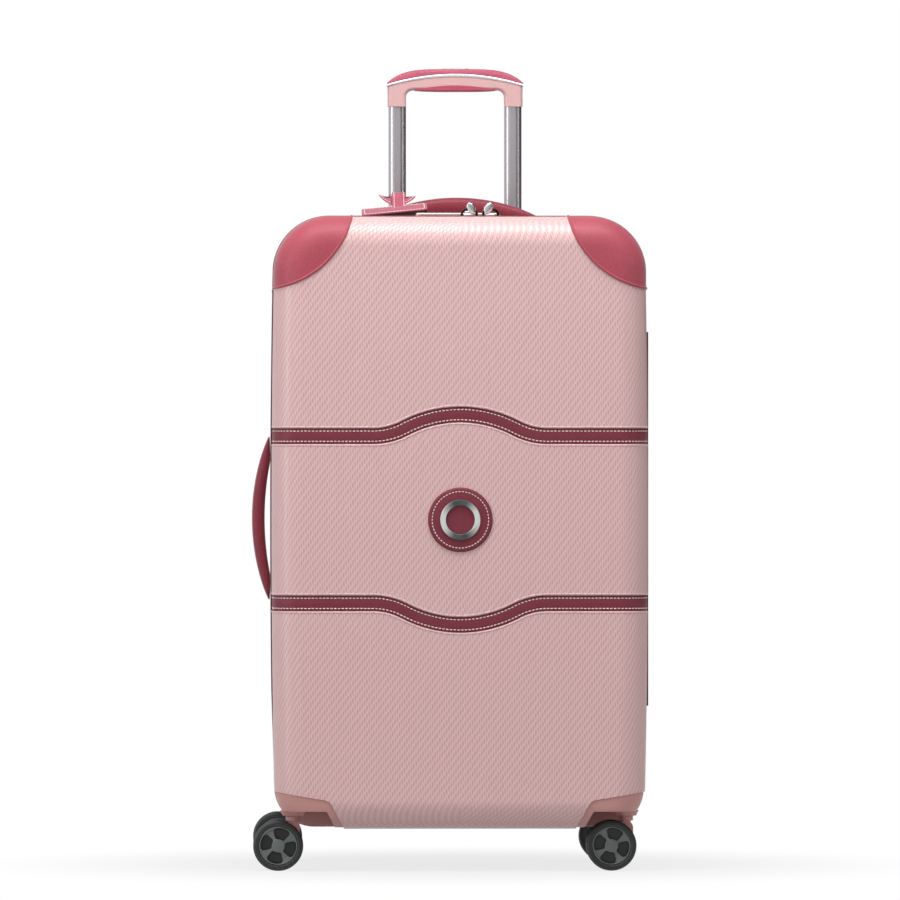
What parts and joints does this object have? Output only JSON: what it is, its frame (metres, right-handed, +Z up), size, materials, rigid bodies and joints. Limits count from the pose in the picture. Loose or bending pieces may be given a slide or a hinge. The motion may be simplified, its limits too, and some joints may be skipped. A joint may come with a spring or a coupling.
{
  "type": "hard shell suitcase on wheels",
  "caption": "Upright hard shell suitcase with telescopic handle, zip seam, combination lock, carry handles and twin-wheel swivel casters.",
  "frame": {"origin": "on the floor plane under the middle of the case", "axes": "+Z up, -Y out of the front face, +X towards the hinge side"},
  "size_m": [0.447, 0.3656, 0.9043],
  "materials": {
    "shell_plastic": "satin moulded polycarbonate with a fine woven texture, blush pink",
    "housing_plastic": "matte moulded nylon, dusty pink",
    "grip_plastic": "satin moulded plastic, blush pink",
    "burgundy_leather": "grained burgundy leather with pale stitching",
    "zip_fabric": "woven burgundy zip tape",
    "lining_fabric": "woven polyester lining",
    "tube_metal": "anodised aluminium tube",
    "bright_metal": "polished zinc alloy",
    "dark_metal": "dark plated zinc alloy",
    "steel": "plain steel",
    "wheel_rubber": "grey polyurethane tyre on a nylon hub",
    "black_plastic": "black moulded nylon",
    "rose_metal": "rose-gold plated zinc alloy"
  },
  "bodies": {
    "rear_case": {"rear_shell": "shell_plastic", "rear_zip_tape": "zip_fabric", "rear_lining": "lining_fabric", "rear_wheel_housings": "housing_plastic", "rear_swivel_pins": "steel", "rear_swivel_bearings": "steel", "rear_straps": "burgundy_leather", "rear_corner_guards": "burgundy_leather", "hinge_welt": "zip_fabric", "trolley_sleeves": "tube_metal", "trolley_foot": "black_plastic", "trolley_bezel": "housing_plastic", "handle_guides": "black_plastic", "lock_body": "rose_metal"},
    "lid": {"front_shell": "shell_plastic", "front_zip_tape": "zip_fabric", "front_lining": "lining_fabric", "front_wheel_housings": "housing_plastic", "front_swivel_pins": "steel", "front_swivel_bearings": "steel", "front_straps": "burgundy_leather", "front_corner_guards": "burgundy_leather", "medallion_disc": "burgundy_leather", "medallion_ring": "bright_metal"},
    "trolley": {"trolley_tubes": "tube_metal", "tube_plugs": "black_plastic", "grip_body": "grip_plastic", "grip_trim": "bright_metal", "grip_leather": "burgundy_leather"},
    "release": {"release_button": "bright_metal", "release_rods": "steel"},
    "lock_pin_left": {"lock_pin_left": "steel"},
    "lock_pin_right": {"lock_pin_right": "steel"},
    "top_handle": {"top_handle": "burgundy_leather"},
    "side_handle": {"side_handle": "burgundy_leather"},
    "lock_latch": {"lock_latch": "bright_metal"},
    "zip_slider_left": {"zip_slider_left": "bright_metal"},
    "zip_slider_right": {"zip_slider_right": "bright_metal"},
    "luggage_tag": {"luggage_tag": "burgundy_leather"},
    "lock_dial_1": {"lock_dial_1": "black_plastic"},
    "lock_dial_2": {"lock_dial_2": "black_plastic"},
    "lock_dial_3": {"lock_dial_3": "black_plastic"},
    "swivel_front_left": {"fork_front_left": "housing_plastic", "axle_front_left": "steel"},
    "wheel_front_left_a": {"wheel_front_left_a": "wheel_rubber"},
    "wheel_front_left_b": {"wheel_front_left_b": "wheel_rubber"},
    "swivel_front_right": {"fork_front_right": "housing_plastic", "axle_front_right": "steel"},
    "wheel_front_right_a": {"wheel_front_right_a": "wheel_rubber"},
    "wheel_front_right_b": {"wheel_front_right_b": "wheel_rubber"},
    "swivel_rear_left": {"fork_rear_left": "housing_plastic", "axle_rear_left": "steel"},
    "wheel_rear_left_a": {"wheel_rear_left_a": "wheel_rubber"},
    "wheel_rear_left_b": {"wheel_rear_left_b": "wheel_rubber"},
    "swivel_rear_right": {"fork_rear_right": "housing_plastic", "axle_rear_right": "steel"},
    "wheel_rear_right_a": {"wheel_rear_right_a": "wheel_rubber"},
    "wheel_rear_right_b": {"wheel_rear_right_b": "wheel_rubber"}
  },
  "joints": [
    {"name": "lid_hinge", "type": "hinge", "parent": "rear_case", "child": "lid", "pos_m": [0.2135, -0.07, 0.392], "axis": [0, 0, 1], "range_deg": [0, 180]},
    {"name": "trolley_slide", "type": "slide", "parent": "rear_case", "child": "trolley", "axis": [0, 0, 1], "range_m": [-0.118, 0.19]},
    {"name": "release_press", "type": "slide", "parent": "trolley", "child": "release", "axis": [0, 0, -1], "range_m": [0, 0.0025], "stiffness_N_per_m": 1500, "springref_m": -0.003},
    {"name": "lock_pin_left_slide", "type": "slide", "parent": "trolley", "child": "lock_pin_left", "axis": [1, 0, 0], "range_m": [0, 0.0015]},
    {"name": "lock_pin_right_slide", "type": "slide", "parent": "trolley", "child": "lock_pin_right", "axis": [-1, 0, 0], "range_m": [0, 0.0015]},
    {"name": "top_handle_lift", "type": "slide", "parent": "rear_case", "child": "top_handle", "axis": [0, 0, 1], "range_m": [0, 0.012]},
    {"name": "side_handle_lift", "type": "slide", "parent": "rear_case", "child": "side_handle", "axis": [-1, 0, 0], "range_m": [0, 0.012]},
    {"name": "lock_latch_slide", "type": "slide", "parent": "rear_case", "child": "lock_latch", "axis": [1, 0, 0], "range_m": [0, 0.0035], "stiffness_N_per_m": 300, "springref_m": -0.001},
    {"name": "zip_left_run", "type": "slide", "parent": "rear_case", "child": "zip_slider_left", "axis": [-1, 0, 0], "range_m": [0, 0.14]},
    {"name": "zip_right_run", "type": "slide", "parent": "rear_case", "child": "zip_slider_right", "axis": [1, 0, 0], "range_m": [0, 0.1]},
    {"name": "tag_swing", "type": "hinge", "parent": "rear_case", "child": "luggage_tag", "pos_m": [-0.066, 0.136, 0.756], "axis": [0, 0, 1], "range_deg": [-45, 0]},
    {"name": "dial_1_turn", "type": "hinge", "parent": "rear_case", "child": "lock_dial_1", "pos_m": [-0.03, -0.0467, 0.7312], "axis": [1, 0, 0], "continuous": true},
    {"name": "dial_2_turn", "type": "hinge", "parent": "rear_case", "child": "lock_dial_2", "pos_m": [-0.022, -0.0467, 0.7312], "axis": [1, 0, 0], "continuous": true},
    {"name": "dial_3_turn", "type": "hinge", "parent": "rear_case", "child": "lock_dial_3", "pos_m": [-0.014, -0.0467, 0.7312], "axis": [1, 0, 0], "continuous": true},
    {"name": "swivel_front_left_turn", "type": "hinge", "parent": "lid", "child": "swivel_front_left", "pos_m": [-0.186, -0.13, 0.055], "axis": [0, 0, 1], "continuous": true},
    {"name": "wheel_front_left_a_roll", "type": "hinge", "parent": "swivel_front_left", "child": "wheel_front_left_a", "pos_m": [-0.2026, -0.13, 0.028], "axis": [0, 1, 0], "continuous": true},
    {"name": "wheel_front_left_b_roll", "type": "hinge", "parent": "swivel_front_left", "child": "wheel_front_left_b", "pos_m": [-0.2026, -0.13, 0.028], "axis": [0, 1, 0], "continuous": true},
    {"name": "swivel_front_right_turn", "type": "hinge", "parent": "lid", "child": "swivel_front_right", "pos_m": [0.186, -0.13, 0.055], "axis": [0, 0, 1], "continuous": true},
    {"name": "wheel_front_right_a_roll", "type": "hinge", "parent": "swivel_front_right", "child": "wheel_front_right_a", "pos_m": [0.1694, -0.13, 0.028], "axis": [0, 1, 0], "continuous": true},
    {"name": "wheel_front_right_b_roll", "type": "hinge", "parent": "swivel_front_right", "child": "wheel_front_right_b", "pos_m": [0.1694, -0.13, 0.028], "axis": [0, 1, 0], "continuous": true},
    {"name": "swivel_rear_left_turn", "type": "hinge", "parent": "rear_case", "child": "swivel_rear_left", "pos_m": [-0.186, 0.13, 0.055], "axis": [0, 0, 1], "continuous": true},
    {"name": "wheel_rear_left_a_roll", "type": "hinge", "parent": "swivel_rear_left", "child": "wheel_rear_left_a", "pos_m": [-0.2026, 0.13, 0.028], "axis": [0, 1, 0], "continuous": true},
    {"name": "wheel_rear_left_b_roll", "type": "hinge", "parent": "swivel_rear_left", "child": "wheel_rear_left_b", "pos_m": [-0.2026, 0.13, 0.028], "axis": [0, 1, 0], "continuous": true},
    {"name": "swivel_rear_right_turn", "type": "hinge", "parent": "rear_case", "child": "swivel_rear_right", "pos_m": [0.186, 0.13, 0.055], "axis": [0, 0, 1], "continuous": true},
    {"name": "wheel_rear_right_a_roll", "type": "hinge", "parent": "swivel_rear_right", "child": "wheel_rear_right_a", "pos_m": [0.1694, 0.13, 0.028], "axis": [0, 1, 0], "continuous": true},
    {"name": "wheel_rear_right_b_roll", "type": "hinge", "parent": "swivel_rear_right", "child": "wheel_rear_right_b", "pos_m": [0.1694, 0.13, 0.028], "axis": [0, 1, 0], "continuous": true}
  ],
  "couplings": [
    {"joint": "lock_pin_left_slide", "follows": "release_press", "ratio": 0.6},
    {"joint": "lock_pin_right_slide", "follows": "release_press", "ratio": 0.6}
  ]
}
